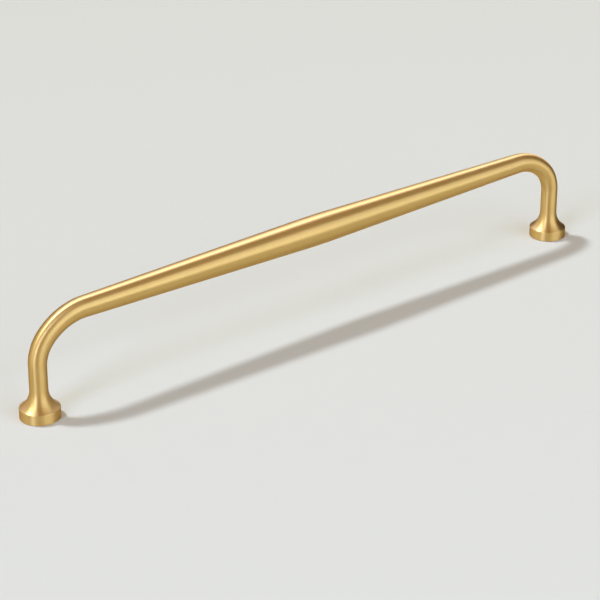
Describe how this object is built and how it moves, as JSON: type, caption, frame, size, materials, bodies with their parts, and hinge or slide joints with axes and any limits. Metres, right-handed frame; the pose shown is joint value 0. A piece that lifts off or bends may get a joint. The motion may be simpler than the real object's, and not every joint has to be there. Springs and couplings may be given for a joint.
{
  "type": "cabinet pull",
  "caption": "D-shaped cabinet pull in satin brass: a slim bar that swells to a soft crest at its middle, smooth bends, straight legs and round flared feet tapped for screws.",
  "frame": {"origin": "midway between the fixing holes, on the mounting face", "axes": "+X along the bar from one fixing hole to the other, +Y across the bar, +Z away from the mounting face towards the bar"},
  "size_m": [0.271, 0.015, 0.0434],
  "materials": {
    "satin_brass": "satin, fine brushed, clear lacquered"
  },
  "bodies": {
    "root": {"cabinet_pull": "satin_brass"}
  },
  "joints": []
}
